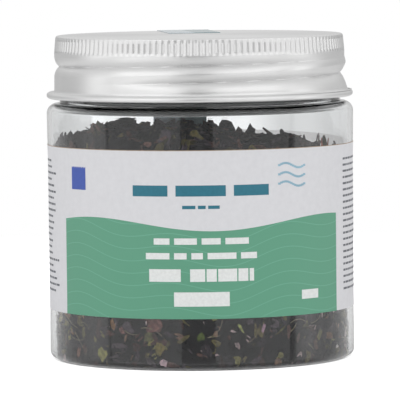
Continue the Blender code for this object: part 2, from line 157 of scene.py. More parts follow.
# Studio.
FLOOR_RADIUS = 0.4
FLOOR_GLOW = 0.62
# Brightness of the room all round, from behind the camera (0) past the sides (0.5) to the back (1).
ROOM_AROUND = ((0.0, 0.06), (0.35, 0.08), (0.385, 1.3), (0.5, 1.4), (0.66, 0.6), (1.0, 0.6))
ROOM_OVER_AND_UNDER = (0.86, 0.86, 0.86, 1)
# Soft lights: how far round from the camera to the right (degrees), width, height and power.
SOFTBOXES = {
    "softbox_left": (-43, 0.95, 1.1, 2.6),
    "softbox_right": (39, 1.0, 1.1, 2.45),
    "side_strip_right": (82, 0.25, 1.1, 0.15),
}
SOFTBOX_DISTANCE = 0.85
SOFTBOX_HEIGHT = 0.16
SOFTBOX_AIM_HEIGHT = 0.04


# Small helpers for objects and operators.

def deselect_all():
    if bpy.context.object and bpy.context.object.mode != "OBJECT":
        bpy.ops.object.mode_set(mode="OBJECT")
    bpy.ops.object.select_all(action="DESELECT")


def make_active(piece):
    deselect_all()
    piece.select_set(True)
    bpy.context.view_layer.objects.active = piece


def apply_modifiers(piece):
    make_active(piece)
    for modifier in list(piece.modifiers):
        bpy.ops.object.modifier_apply(modifier=modifier.name)


def shade_round(piece, sharp_deg=40.0):
    make_active(piece)
    bpy.ops.object.shade_smooth_by_angle(angle=math.radians(sharp_deg))


def add_object(name, data):
    piece = bpy.data.objects.new(name, data)
    bpy.context.scene.collection.objects.link(piece)
    return piece


def read_points(mesh):
    points = np.empty(len(mesh.vertices) * 3)
    mesh.vertices.foreach_get("co", points)
    return points.reshape(-1, 3)


def write_points(mesh, points):
    mesh.vertices.foreach_set("co", np.asarray(points, dtype=np.float32).ravel())
    mesh.update()


def round_axis(radius, bearing, height):
    """Points at these distances from the screw axis, bearings and heights."""
    return np.stack([radius * np.cos(bearing), radius * np.sin(bearing), height], 1)


def arc(centre_r, centre_z, radius, start_deg, end_deg, count):
    """Points of a round stretch of a turned outline, as (radius, height)."""
    angles = np.radians(np.linspace(start_deg, end_deg, count))
    return [(centre_r + radius * math.cos(a), centre_z + radius * math.sin(a)) for a in angles]


def stretch(start, end, count):
    """Points from start to end of a straight stretch, without the first."""
    shares = np.linspace(0, 1, count + 1)[1:]
    return [(start[0] + (end[0] - start[0]) * t, start[1] + (end[1] - start[1]) * t) for t in shares]


def turned(name, outline, columns):
    """Spin an outline of (radius, height) points round the screw axis into a closed piece."""
    mesh = bpy.data.meshes.new(name)
    mesh.from_pydata([(r, 0, z) for r, z in outline], [(i, i + 1) for i in range(len(outline) - 1)], [])
    piece = add_object(name, mesh)
    make_active(piece)
    bpy.ops.object.mode_set(mode="EDIT")
    bpy.ops.mesh.select_all(action="SELECT")
    bpy.ops.mesh.spin(steps=columns, angle=math.tau, center=(0, 0, 0), axis=(0, 0, 1))
    bpy.ops.mesh.select_all(action="SELECT")
    bpy.ops.mesh.remove_doubles(threshold=0.002 * MM)
    bpy.ops.mesh.normals_make_consistent(inside=False)
    bpy.ops.object.mode_set(mode="OBJECT")
    return piece


def give(piece, material, body, slot, *nodes):
    """Dress a finished piece and tell the frame where it belongs."""
    piece.data.materials.clear()
    piece.data.materials.append(material)
    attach(piece, body)
    if nodes:
        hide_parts(*nodes)


# Screw thread.

def bump(distance, half_width):
    u = np.clip(np.abs(distance) / half_width, 0, 1)
    return np.cos(u * np.pi / 2) ** 2


def run_in(along_deg, whole_deg, ramp_deg):
    share = np.minimum(np.minimum(along_deg, whole_deg - along_deg), ramp_deg) / ramp_deg
    return np.where(share > 0, np.sin(np.clip(share, 0, 1) * np.pi / 2) ** 2, 0)


def thread_relief(angle, z, start_deg, turn_deg, start_z, half_width, ramp_deg):
    """How much of the thread's full height stands at each angle and height."""
    relief = np.zeros_like(z)
    first = np.mod(np.degrees(angle) - start_deg, 360.0)
    for turn in range(2):
        along = first + 360.0 * turn
        centre = start_z + PITCH * along / 360.0
        relief = np.maximum(relief, run_in(along, turn_deg, ramp_deg) * bump(z - centre, half_width))
    return relief


def lid_groove(angle, z):
    """Share of the lid's groove depth: a crease between two round shoulders that fades in and out."""
    relief = np.zeros_like(z)
    first = np.mod(np.degrees(angle) - GROOVE_START_DEG, 360.0)
    for turn in range(2):
        along = first + 360.0 * turn
        off = z - GROOVE_START_Z - PITCH * along / 360.0
        reach = np.full_like(z, GROOVE_HALF_WIDTH)
        if turn == 0:
            reach = np.where(off < 0, reach + GROOVE_FOOT_REACH * bump(along - 150.0, 90.0), reach)
        inside = np.clip(1 - np.abs(off) / reach, 0, 1)
        crease = inside * (0.35 + 0.65 * inside ** 2)
        relief = np.maximum(relief, run_in(along, GROOVE_TURN_DEG, GROOVE_RUN_IN_DEG) * crease)
    return relief


def lid_swell(angle, z):
    """How far the skirt stands proud on the right of the lid."""
    right = np.degrees(np.arctan2(np.sin(angle), np.cos(angle)))
    swell = SWELL_HEIGHT * bump(right, 75.0) * bump(z - SWELL_Z, 1.6 * MM)
    share = np.clip((FLARE_TOP_Z - z) / (FLARE_TOP_Z - CURL_CENTRE_Z - CURL_RADIUS), 0, 1)
    inward = np.clip((z - CURL_CENTRE_Z) / CURL_RADIUS, 0, 1)
    return swell + FLARE_HEIGHT * bump(right, 105.0) * share ** 1.2 * inward


def body_taper(z):
    """How much slimmer the jar's body is at a height than at its shoulder."""
    heights, slim = zip(*BODY_SLIM)
    return MM * np.interp(np.asarray(z) / MM, heights, slim)


def push_radius(points, change):
    """Move points out from, or in towards, the screw axis."""
    radius = np.hypot(points[:, 0], points[:, 1])
    scale = np.where(radius > 1e-6, (radius + change) / np.maximum(radius, 1e-6), 1.0)
    points[:, 0] *= scale
    points[:, 1] *= scale
    return points


# Materials.

def start_material(name):
    material = bpy.data.materials.new(name)
    material.use_nodes = True
    nodes, links = material.node_tree.nodes, material.node_tree.links
    return material, nodes, links, nodes["Principled BSDF"]


def object_place(nodes, links, scale=(1, 1, 1)):
    where = nodes.new("ShaderNodeTexCoord")
    mapping = nodes.new("ShaderNodeMapping")
    mapping.inputs["Scale"].default_value = scale
    links.new(where.outputs["Object"], mapping.inputs["Vector"])
    return mapping.outputs["Vector"]


def noise(nodes, links, vector, scale, detail=4.0, roughness=0.55):
    node = nodes.new("ShaderNodeTexNoise")
    node.inputs["Scale"].default_value = scale
    node.inputs["Detail"].default_value = detail
    node.inputs["Roughness"].default_value = roughness
    links.new(vector, node.inputs["Vector"])
    return node.outputs["Fac"]


def ramp(nodes, links, value, stops):
    node = nodes.new("ShaderNodeValToRGB")
    elements = node.color_ramp.elements
    while len(elements) < len(stops):
        elements.new(0.5)
    for element, (place, colour) in zip(elements, stops):
        element.position = place
        element.color = (*colour, 1.0)
    links.new(value, node.inputs["Fac"])
    return node.outputs["Color"]


def map_range(nodes, links, value, low, high):
    node = nodes.new("ShaderNodeMapRange")
    node.inputs["To Min"].default_value = low
    node.inputs["To Max"].default_value = high
    links.new(value, node.inputs["Value"])
    return node.outputs["Result"]


def add_bump(nodes, links, shader, height, strength, distance):
    node = nodes.new("ShaderNodeBump")
    node.inputs["Strength"].default_value = strength
    node.inputs["Distance"].default_value = distance
    links.new(height, node.inputs["Height"])
    links.new(node.outputs["Normal"], shader.inputs["Normal"])


def math_node(nodes, links, operation, first, second=None):
    node = nodes.new("ShaderNodeMath")
    node.operation = operation
    for socket, value in zip(node.inputs, (first, second)):
        if value is None:
            continue
        if isinstance(value, (int, float)):
            socket.default_value = value
        else:
            links.new(value, socket)
    return node.outputs["Value"]


def blend_colours(nodes, links, share, first, second, mode="MIX"):
    node = nodes.new("ShaderNodeMix")
    node.data_type = "RGBA"
    node.blend_type = mode
    for name, value in (("Factor", share), ("A", first), ("B", second)):
        if isinstance(value, (float, tuple)):
            node.inputs[name].default_value = value
        else:
            links.new(value, node.inputs[name])
    return node.outputs["Result"]


def let_light_through(nodes, links, surface, share, diffuse_too=False):
    """Let this share of the light shine on through a thin surface."""
    path = nodes.new("ShaderNodeLightPath")
    passing = path.outputs["Is Shadow Ray"]
    if diffuse_too:
        passing = math_node(nodes, links, "MAXIMUM", passing, path.outputs["Is Diffuse Ray"])
    through = nodes.new("ShaderNodeBsdfTransparent")
    mix = nodes.new("ShaderNodeMixShader")
    links.new(math_node(nodes, links, "MULTIPLY", passing, share), mix.inputs[0])
    links.new(surface, mix.inputs[1])
    links.new(through.outputs["BSDF"], mix.inputs[2])
    links.new(mix.outputs["Shader"], nodes["Material Output"].inputs["Surface"])


def clear_plastic():
    """Clear blown plastic with a faint waviness, which throws only a pale shadow."""
    material, nodes, links, shader = start_material("clear_plastic")
    shader.inputs["Base Color"].default_value = (0.97, 0.98, 0.985, 1)
    shader.inputs["Transmission Weight"].default_value = 1.0
    shader.inputs["IOR"].default_value = 1.5
    shader.inputs["Roughness"].default_value = 0.0
    waves = noise(nodes, links, object_place(nodes, links), 60.0, 1.0)
    add_bump(nodes, links, shader, waves, 0.03, 0.0004)
    let_light_through(nodes, links, shader.outputs["BSDF"], 0.75)
    return material


def lid_aluminium():
    """Bare rolled aluminium with fine drawing marks round it."""
    material, nodes, links, shader = start_material("lid_aluminium")
    marks = noise(nodes, links, object_place(nodes, links, (120, 120, 2600)), 1.0, 3.0)
    patches = noise(nodes, links, object_place(nodes, links), 70.0, 3.0)
    colour = ramp(nodes, links, patches, [(0.3, (0.73, 0.73, 0.73)), (0.7, (0.775, 0.775, 0.773))])
    links.new(colour, shader.inputs["Base Color"])
    links.new(map_range(nodes, links, marks, 0.33, 0.44), shader.inputs["Roughness"])
    shader.inputs["Metallic"].default_value = 1.0
    round_it = nodes.new("ShaderNodeTangent")
    round_it.direction_type = "RADIAL"
    round_it.axis = "Z"
    links.new(round_it.outputs["Tangent"], shader.inputs["Tangent"])
    shader.inputs["Anisotropic"].default_value = 0.55
    shader.inputs["Anisotropic Rotation"].default_value = 0.25
    add_bump(nodes, links, shader, marks, 0.25, 0.00008)
    return material


def liner_foam():
    material, nodes, links, shader = start_material("liner_foam")
    cells = noise(nodes, links, object_place(nodes, links), 2500.0, 2.0)
    colour = ramp(nodes, links, cells, [(0.3, (0.82, 0.82, 0.80)), (0.7, (0.9, 0.9, 0.88))])
    links.new(colour, shader.inputs["Base Color"])
    shader.inputs["Roughness"].default_value = 0.8
    add_bump(nodes, links, shader, cells, 0.4, 0.0001)
    return material


def seal_paper():
    """Teal paper strip, paler along its left half."""
    material, nodes, links, shader = start_material("seal_paper")
    uv = nodes.new("ShaderNodeUVMap")
    split = nodes.new("ShaderNodeSeparateXYZ")
    links.new(uv.outputs["UV"], split.inputs["Vector"])
    side = ramp(nodes, links, split.outputs["X"],
                [(0.47, (0.55, 0.66, 0.72)), (0.52, (0.24, 0.37, 0.4))])
    links.new(side, shader.inputs["Base Color"])
    shader.inputs["Roughness"].default_value = 0.12
    fibres = noise(nodes, links, object_place(nodes, links), 900.0, 3.0)
    add_bump(nodes, links, shader, fibres, 0.05, 0.00003)
    return material


def plain_ink(name, colour):
    material, nodes, links, shader = start_material(name)
    grain = noise(nodes, links, object_place(nodes, links), 1500.0, 2.0)
    dark = tuple(c * 0.92 for c in colour)
    links.new(ramp(nodes, links, grain, [(0.35, dark), (0.65, colour)]), shader.inputs["Base Color"])
    shader.inputs["Roughness"].default_value = 0.5
    return material


def label_areas(nodes, links, length, height):
    """Where the label's green field, its fine wavy lines and the cut upper edge are, each as 0 or 1."""
    calc = partial(math_node, nodes, links)
    uv = nodes.new("ShaderNodeUVMap")
    split = nodes.new("ShaderNodeSeparateXYZ")
    links.new(uv.outputs["UV"], split.inputs["Vector"])
    # Millimetres along the label from its middle, and up from its lower edge.
    along = calc("MULTIPLY", calc("SUBTRACT", split.outputs["X"], 0.5), length / MM)
    up = calc("MULTIPLY", split.outputs["Y"], height / MM)
    swell = calc("MULTIPLY", calc("SINE", calc("MULTIPLY", calc("ADD", along, 44.0), 0.1)), 1.5)
    crest = calc("ADD", swell, FIELD_HEIGHT / MM)
    below = calc("LESS_THAN", up, crest)
    within = calc("LESS_THAN", calc("ABSOLUTE", along), FIELD_HALF_LENGTH / MM)
    field = calc("MULTIPLY", below, within)
    ripple = calc("MULTIPLY", calc("SINE", calc("MULTIPLY", along, 0.23)), 1.1)
    drift = calc("MULTIPLY", calc("SINE", calc("ADD", calc("MULTIPLY", along, 0.09), 1.7)), 1.6)
    level = calc("ADD", calc("ADD", up, ripple), drift)
    fine = calc("LESS_THAN", calc("FRACT", calc("MULTIPLY", level, 0.34)), 0.06)
    cut = calc("GREATER_THAN", up, height / MM - 0.16)
    return field, fine, cut


def label_paper(length, height):
    """Coated white paper with a green field whose top edge and fine lines are waves."""
    material, nodes, links, shader = start_material("label_paper")
    field, fine, cut = label_areas(nodes, links, length, height)
    grain = noise(nodes, links, object_place(nodes, links), 700.0, 3.0)
    white = ramp(nodes, links, grain, [(0.3, (0.68, 0.68, 0.705)), (0.7, (0.715, 0.715, 0.74))])
    green = ramp(nodes, links, fine, [(0.0, GREEN), (1.0, PALE_GREEN)])
    printed = blend_colours(nodes, links, field, white, green)
    # A thin brownish line is painted along the cut upper edge.
    brown = ramp(nodes, links, grain, [(0.3, (0.3, 0.2, 0.13)), (0.7, (0.42, 0.33, 0.25))])
    links.new(blend_colours(nodes, links, cut, printed, brown), shader.inputs["Base Color"])
    shader.inputs["Roughness"].default_value = 0.5
    add_bump(nodes, links, shader, grain, 0.08, 0.00004)
    let_light_through(nodes, links, shader.outputs["BSDF"], 0.9, diffuse_too=True)
    return material


def label_backing():
    """The label's bare side, which glows with the light that its paper lets through."""
    material, nodes, links, shader = start_material("label_backing")
    fibres = noise(nodes, links, object_place(nodes, links), 500.0, 3.0)
    colour = ramp(nodes, links, fibres, [(0.3, (0.86, 0.84, 0.84)), (0.7, (0.93, 0.91, 0.91))])
    links.new(colour, shader.inputs["Base Color"])
    shader.inputs["Roughness"].default_value = 0.7
    glow = nodes.new("ShaderNodeBsdfTranslucent")
    links.new(colour, glow.inputs["Color"])
    paper = nodes.new("ShaderNodeMixShader")
    paper.inputs[0].default_value = 0.8
    links.new(shader.outputs["BSDF"], paper.inputs[1])
    links.new(glow.outputs["BSDF"], paper.inputs[2])
    let_light_through(nodes, links, paper.outputs["Shader"], 0.9, diffuse_too=True)
    return material


def dried_seaweed():
    """Dry, dull flakes; each one's own tint comes from its copy."""
    material, nodes, links, shader = start_material("dried_seaweed")
    tint = nodes.new("ShaderNodeAttribute")
    tint.attribute_name = "tint"
    mottle = noise(nodes, links, object_place(nodes, links), 1300.0, 4.0, 0.6)
    shade = ramp(nodes, links, mottle, [(0.3, (0.4, 0.4, 0.42)), (0.7, (1.6, 1.5, 1.5))])
    mixed = blend_colours(nodes, links, 1.0, tint.outputs["Color"], shade, "MULTIPLY")
    links.new(mixed, shader.inputs["Base Color"])
    links.new(map_range(nodes, links, mottle, 0.45, 0.8), shader.inputs["Roughness"])
    shader.inputs["Specular IOR Level"].default_value = 0.02
    wrinkles = noise(nodes, links, object_place(nodes, links), 1000.0, 3.0)
    add_bump(nodes, links, shader, wrinkles, 1.0, 0.0004)
    return material


# Jar.

def jar_outline():
    shoulder_r = BODY_RADIUS - SHOULDER_RADIUS
    shoulder_top = SHOULDER_START + SHOULDER_RADIUS
    inner_top = shoulder_top - WALL
    ring_inner, slope, lip = 32.8 * MM, 1.2 * MM, 0.45 * MM
    outline = [(0, 1.0 * MM)] + stretch((0, 1.0 * MM), (ring_inner - slope, 1.0 * MM), 4)
    outline += [(ring_inner - slope / 2, 0.5 * MM), (ring_inner, 0), (34.4 * MM, 0)]
    outline += arc(BODY_RADIUS - HEEL_RADIUS, HEEL_RADIUS, HEEL_RADIUS, -90, 0, 9)
    outline += stretch(outline[-1], (BODY_RADIUS, SHOULDER_START), 10)[:-1]
    outline += arc(shoulder_r, SHOULDER_START, SHOULDER_RADIUS, 0, 88, 12)
    outline += arc(COLLAR_RADIUS + 0.4 * MM, shoulder_top + 0.45 * MM, 0.4 * MM, 265, 180, 5)
    outline += [(COLLAR_RADIUS, COLLAR_TOP - 0.2 * MM), (COLLAR_RADIUS - 0.15 * MM, COLLAR_TOP)]
    outline += [(NECK_RADIUS, COLLAR_TOP + 0.6 * MM)]
    outline += stretch(outline[-1], (NECK_RADIUS, RIM_TOP - lip), 56)
    outline += arc(NECK_RADIUS - lip, RIM_TOP - lip, lip, 20, 90, 5)
    outline += arc(NECK_BORE + lip, RIM_TOP - lip, lip, 90, 180, 6)
    outline += stretch(outline[-1], (NECK_BORE, inner_top + NECK_BLEND), 6)
    outline += arc(NECK_BORE + NECK_BLEND, inner_top + NECK_BLEND, NECK_BLEND, 180, 270, 12)
    outline += arc(shoulder_r, SHOULDER_START, SHOULDER_RADIUS - WALL, 88, 0, 9)
    heel = INNER_HEEL_RADIUS
    outline += stretch(outline[-1], (INNER_RADIUS, FLOOR_LOW + heel), 10)[:-1]
    outline += arc(INNER_RADIUS - heel, FLOOR_LOW + heel, heel, 0, -90, 9)
    outline += [(ring_inner, FLOOR_LOW), (ring_inner - slope / 2, 1.3 * MM), (ring_inner - slope, FLOOR_TOP)]
    outline += stretch(outline[-1], (0, FLOOR_TOP), 4)
    return outline


def make_jar():
    jar = turned("jar_clear_body", jar_outline(), 256)
    points = read_points(jar.data)
    radius = np.hypot(points[:, 0], points[:, 1])
    on_neck = (np.abs(radius - NECK_RADIUS) < 0.01 * MM) & (points[:, 2] > COLLAR_TOP)
    start_z = GROOVE_START_Z + PITCH * ((RIDGE_START_DEG - GROOVE_START_DEG) / 360.0 + 0.5)
    relief = thread_relief(np.arctan2(points[:, 1], points[:, 0]), points[:, 2],
                           RIDGE_START_DEG, RIDGE_TURN_DEG, start_z, RIDGE_HALF_WIDTH, RIDGE_RUN_OUT_DEG)
    change = np.where(on_neck, relief * RIDGE_HEIGHT, 0)
    change -= np.where(radius > 30 * MM, body_taper(points[:, 2]), 0)
    write_points(jar.data, push_radius(points, change))
    shade_round(jar, 50)
    give(jar, clear_plastic(), "jar", "clear_plastic", "jar_body")


# Lid.

def lid_outline():
    corner = LID_CORNER_RADIUS
    outline = [(0, LID_TOP)] + stretch((0, LID_TOP), (LID_TOP_RADIUS - 0.6 * MM, LID_TOP), 4)
    outline += arc(LID_TOP_RADIUS, LID_TOP - corner, corner, 90, 8, 12)
    outline += stretch((KNURL_TOP_RADIUS, KNURL_TOP), (KNURL_BOTTOM_RADIUS, KNURL_BOTTOM), 16)
    outline += [(35.47 * MM, 74.3 * MM)]
    outline += stretch(outline[-1], (SKIRT_RADIUS, 65.7 * MM), 62)
    outline += [(35.6 * MM, 65.4 * MM), (35.72 * MM, 65.15 * MM), (35.95 * MM, 64.98 * MM)]
    outline += arc(CURL_CENTRE_R, CURL_CENTRE_Z, CURL_RADIUS, 125, -170, 20)
    inside = SKIRT_RADIUS - LID_SHEET
    outline += [(inside, CURL_CENTRE_Z + 0.4 * MM), (inside, 66.0 * MM)]
    outline += stretch(outline[-1], (inside, 73.9 * MM), 40)
    outline += [(34.7 * MM, 74.8 * MM), (34.4 * MM, KNURL_TOP - 0.2 * MM)]
    outline += arc(LID_TOP_RADIUS - 0.5 * MM, LID_TOP - LID_SHEET - 0.3 * MM, 0.3 * MM, 0, 90, 5)
    outline += stretch(outline[-1], (0, LID_TOP - LID_SHEET), 4)
    return outline


def knurl_relief(angle, z):
    """Move of the knurled band: narrow valleys with scooped ends go in between rounded ridges."""
    wave = np.cos(angle * KNURL_RIDGES)
    valley = np.clip((0.35 - wave) / 1.35, 0, 1) ** 1.3
    middle, half = (KNURL_HIGH + KNURL_BOTTOM) / 2, (KNURL_HIGH - KNURL_BOTTOM) / 2
    fade = np.clip((1 - np.abs(z - middle) / half) / 0.3, 0, 1) ** 0.7
    return -KNURL_DEPTH * valley * fade


def make_lid():
    lid = turned("lid_aluminium_shell", lid_outline(), KNURL_RIDGES * 4)
    points = read_points(lid.data)
    angle = np.arctan2(points[:, 1], points[:, 0])
    radius = np.hypot(points[:, 0], points[:, 1])
    z = points[:, 2]
    on_skirt = (z > 65.9 * MM) & (z < 74.55 * MM) & (radius > SKIRT_RADIUS - LID_SHEET - 0.4 * MM)
    change = np.where(on_skirt, -GROOVE_DEPTH * lid_groove(angle, z), 0)
    below_knurl = (z < 74.55 * MM) & (radius < CURL_CENTRE_R)
    change += np.where(below_knurl, lid_swell(angle, z), 0)
    on_knurl = (radius > LID_TOP_RADIUS + 0.35 * MM) & (z > KNURL_BOTTOM)
    change += np.where(on_knurl, knurl_relief(angle, z), 0)
    write_points(lid.data, push_radius(points, change))
    shade_round(lid, 60)
    give(lid, lid_aluminium(), "lid", "lid_aluminium", "lid_shell")


# Label.

def make_label():
    span = math.radians(360 - LABEL_OPEN_DEG)
    radius = LABEL_RADIUS
    bpy.ops.mesh.primitive_grid_add(x_subdivisions=240, y_subdivisions=12, size=1)
    label = bpy.context.object
    label.name = "label_wrap"
    points = read_points(label.data)
    angle = -math.pi / 2 + points[:, 0] * span
    height = LABEL_LOW + (points[:, 1] + 0.5) * (LABEL_HIGH - LABEL_LOW)
    height += LABEL_BACK_RISE * np.clip(np.sin(angle), 0, 1)
    around = radius - body_taper(height)
    write_points(label.data, round_axis(around, angle, height))
    solid = label.modifiers.new("paper", "SOLIDIFY")
    solid.thickness = LABEL_PAPER
    solid.offset = 1.0
    apply_modifiers(label)
    shade_round(label, 30)
    paper = label_paper(span * radius, LABEL_HIGH - LABEL_LOW)
    give(label, paper, "jar", "label_paper", "body_label")
    label.data.materials.append(label_backing())
    for face in label.data.polygons:
        outward = face.center.x * face.normal.x + face.center.y * face.normal.y
        face.material_index = int(outward < -0.5 * radius)


def print_master():
    """One printed bar, a unit wide and high, cut into columns so that it can bend."""
    bpy.ops.mesh.primitive_grid_add(x_subdivisions=6, y_subdivisions=1, size=1)
    master = bpy.context.object
    mesh = master.data
    points = read_points(mesh)[:, :2]
    faces = [tuple(p.vertices) for p in mesh.polygons]
    bpy.data.objects.remove(master, do_unlink=True)
    return points, faces


class Print:
    """Collects bars of one ink on the label, and makes them one piece."""

    def __init__(self, name, ink, master):
        self.name, self.ink, self.master = name, ink, master
        self.verts, self.faces = [], []

    def bar(self, along, up, length, height, lift=0.0):
        """A bar whose middle is this far along the label from its front, and above its lower edge (mm)."""
        points, faces = self.master
        start = len(self.verts)
        radius = LABEL_RADIUS + LABEL_PAPER + (0.02 + lift) * MM
        for x, y in points:
            angle = -math.pi / 2 + (along + x * length) * MM / (LABEL_RADIUS + LABEL_PAPER)
            z = LABEL_LOW + (up + y * height) * MM
            around = radius - float(body_taper(z))
            self.verts.append((around * math.cos(angle), around * math.sin(angle), z))
        self.faces += [tuple(start + i for i in face) for face in faces]

    def line(self, rng, start, end, up, height, centred=False):
        """A line of text as word-long bars."""
        words = []
        x = 0.0
        while x < (end - start) - height * 2:
            word = rng.uniform(1.8, 5.2) * height
            words.append((x, min(word, end - start - x)))
            x += word + height * 0.75
        width = words[-1][0] + words[-1][1]
        shift = start + ((end - start) - width) / 2 if centred else start
        for x, word in words:
            self.bar(shift + x + word / 2, up, word, height)

    def wave(self, along, up, length, height, swing, thickness):
        """A short wavy stroke made of small bars."""
        steps = 14
        for i in range(steps):
            t = (i + 0.5) / steps
            x = along + (t - 0.5) * length
            y = up + swing * math.sin(t * math.tau)
            self.bar(x, y, length / steps * 1.3, thickness)

    def frame_box(self, along, up, length, height, thickness):
        for side in (-1, 1):
            self.bar(along, up + side * height / 2, length + thickness, thickness)
            self.bar(along + side * length / 2, up, thickness, height)

    def finish(self):
        mesh = bpy.data.meshes.new(self.name)
        mesh.from_pydata(self.verts, [], self.faces)
        give(add_object(self.name, mesh), self.ink, "jar", "label_paper")


def make_print(master):
    rng = random.Random(3)
    white = Print("label_print_white", plain_ink("white_ink", (0.8, 0.82, 0.81)), master)
    white.line(rng, -12.5, 12.5, 18.5, 1.5, centred=True)
    white.line(rng, -14.5, 14.5, 15.0, 1.5, centred=True)
    white.line(rng, -15.5, 15.5, 10.4, 3.0, centred=True)
    white.bar(0, 4.7, 13.4, 3.4)
    white.bar(29.0, 4.9, 5.6, 2.2)
    white.finish()
    teal = Print("label_print_teal", plain_ink("teal_ink", (0.02, 0.17, 0.24)), master)
    teal.line(rng, -18.5, 18.5, 30.5, 2.6, centred=True)
    teal.line(rng, -4.5, 4.5, 26.6, 0.8, centred=True)
    teal.finish()
    pale = Print("label_print_pale", plain_ink("pale_blue_ink", (0.3, 0.5, 0.62)), master)
    for i in range(3):
        pale.wave(23.5, 36.0 - 2.2 * i, 8.0, 1.0, 0.6, 0.5)
    pale.finish()
    blue = Print("label_print_blue", plain_ink("blue_ink", (0.05, 0.1, 0.42)), master)
    blue.bar(-34.0, 33.0, 5.5, 5.5)
    blue.finish()
    dark = Print("label_print_dark", plain_ink("grey_ink", (0.12, 0.13, 0.15)), master)
    for start, end in ((-76.0, -44.0), (44.0, 76.0)):
        for row in range(22):
            dark.line(rng, start, end - rng.uniform(0, 6), 36.5 - 1.5 * row, 0.5)
    dark.frame_box(-92, 20, 24, 30, 0.3)
    for row in range(9):
        dark.bar(-92, 32 - 2.8 * row, 23, 0.15)
        dark.line(rng, -102, -92, 33.2 - 2.8 * row, 0.7)
    dark.line(rng, 86, 106, 30, 1.0)
    for row in range(8):
        dark.line(rng, 86, 106, 27 - 2.0 * row, 0.6)
    dark.finish()


# Seal strip.

def face_outward(piece):
    make_active(piece)
    bpy.ops.object.mode_set(mode="EDIT")
    bpy.ops.mesh.select_all(action="SELECT")
    bpy.ops.mesh.normals_make_consistent(inside=False)
    bpy.ops.object.mode_set(mode="OBJECT")


def bent_strip(name, rows, turn_deg):
    """A strip of paper through rows of (share of the way out, radius past the edge, height)."""
    edge = STRIP_EDGE
    bpy.ops.mesh.primitive_grid_add(x_subdivisions=16, y_subdivisions=len(rows) - 1, size=1)
    strip = bpy.context.object
    strip.name = name
    points = read_points(strip.data)
    placed = np.zeros_like(points)
    row_of = np.rint((points[:, 1] + 0.5) * (len(rows) - 1)).astype(int)
    x = points[:, 0] * STRIP_WIDTH
    reach = np.sqrt(edge ** 2 - x ** 2)
    table = np.array(rows)
    share, past, height = (table[row_of, i] for i in range(3))
    scale = 1 + past / edge
    turn = math.radians(turn_deg)
    across, out = x * scale, share * reach * scale
    placed[:, 0] = across * math.cos(turn) - out * math.sin(turn)
    placed[:, 1] = across * math.sin(turn) + out * math.cos(turn)
    placed[:, 2] = height
    write_points(strip.data, placed)
    solid = strip.modifiers.new("paper", "SOLIDIFY")
    solid.thickness = STRIP_PAPER
    solid.offset = 1.0
    apply_modifiers(strip)
    face_outward(strip)
    shade_round(strip, 50)
    return strip


def make_strips():
    paper = seal_paper()
    edge = STRIP_EDGE
    gap = 0.05 * MM
    rows = [(t, 0.0, LID_TOP + gap) for t in np.linspace(STRIP_START_SHARE, LID_TOP_RADIUS / edge, 8)]
    round_edge = arc(LID_TOP_RADIUS, LID_TOP - LID_CORNER_RADIUS, LID_CORNER_RADIUS + gap, 65, 5, 4)
    rows += [(1.0, r - edge, z) for r, z in round_edge]
    rows += [(1.0, KNURL_TOP_RADIUS + gap - edge, KNURL_TOP - 0.1 * MM)]
    past = KNURL_BOTTOM_RADIUS + gap - edge
    rows += [(1.0, past, KNURL_BOTTOM)]
    outer = CURL_CENTRE_R + CURL_RADIUS + gap - edge
    foot = CURL_CENTRE_Z + 0.3 * MM
    for t in (0.25, 0.5, 0.75):
        rows.append((1.0, past + (outer - past) * t, KNURL_BOTTOM + (foot - KNURL_BOTTOM) * t))
    rows += [(1.0, outer, foot), (1.0, outer, CURL_CENTRE_Z - 0.7 * MM)]
    lid_strip = bent_strip("seal_strip_on_lid", rows, STRIP_TURN_DEG)
    give(lid_strip, paper, "lid", "seal_paper", "seal_strip_lid")
    low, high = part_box("seal_strip_jar")
    wall = BODY_RADIUS + gap - edge
    down = [(1.0, wall, z) for z in np.linspace(high.z, low.z, 8)]
    jar_strip = bent_strip("seal_strip_on_jar", down, STRIP_JAR_TURN_DEG)
    give(jar_strip, paper, "jar", "seal_paper", "seal_strip_jar")


# Seaweed.

def heap_height(x, y):
    """Height of the heap: it rises from the left wall, is level to the middle and falls to the right."""
    across, along = x / BODY_RADIUS, y / BODY_RADIUS
    places, heights = zip(*HEAP_PROFILE)
    waves = 0.25 * MM * np.sin(7.0 * along - 0.4)
    return MM * np.interp(across, places, heights) - HEAP_DOME * along * along + waves


def wall_limit(z):
    """How far out a flake may reach at a height, inside the wall and the heel's curve."""
    heel = INNER_HEEL_RADIUS
    drop = np.clip(FLOOR_LOW + heel - z, 0, heel)
    return INNER_RADIUS - body_taper(z) - FLAKE_CLEARANCE - (heel - np.sqrt(heel ** 2 - drop ** 2))


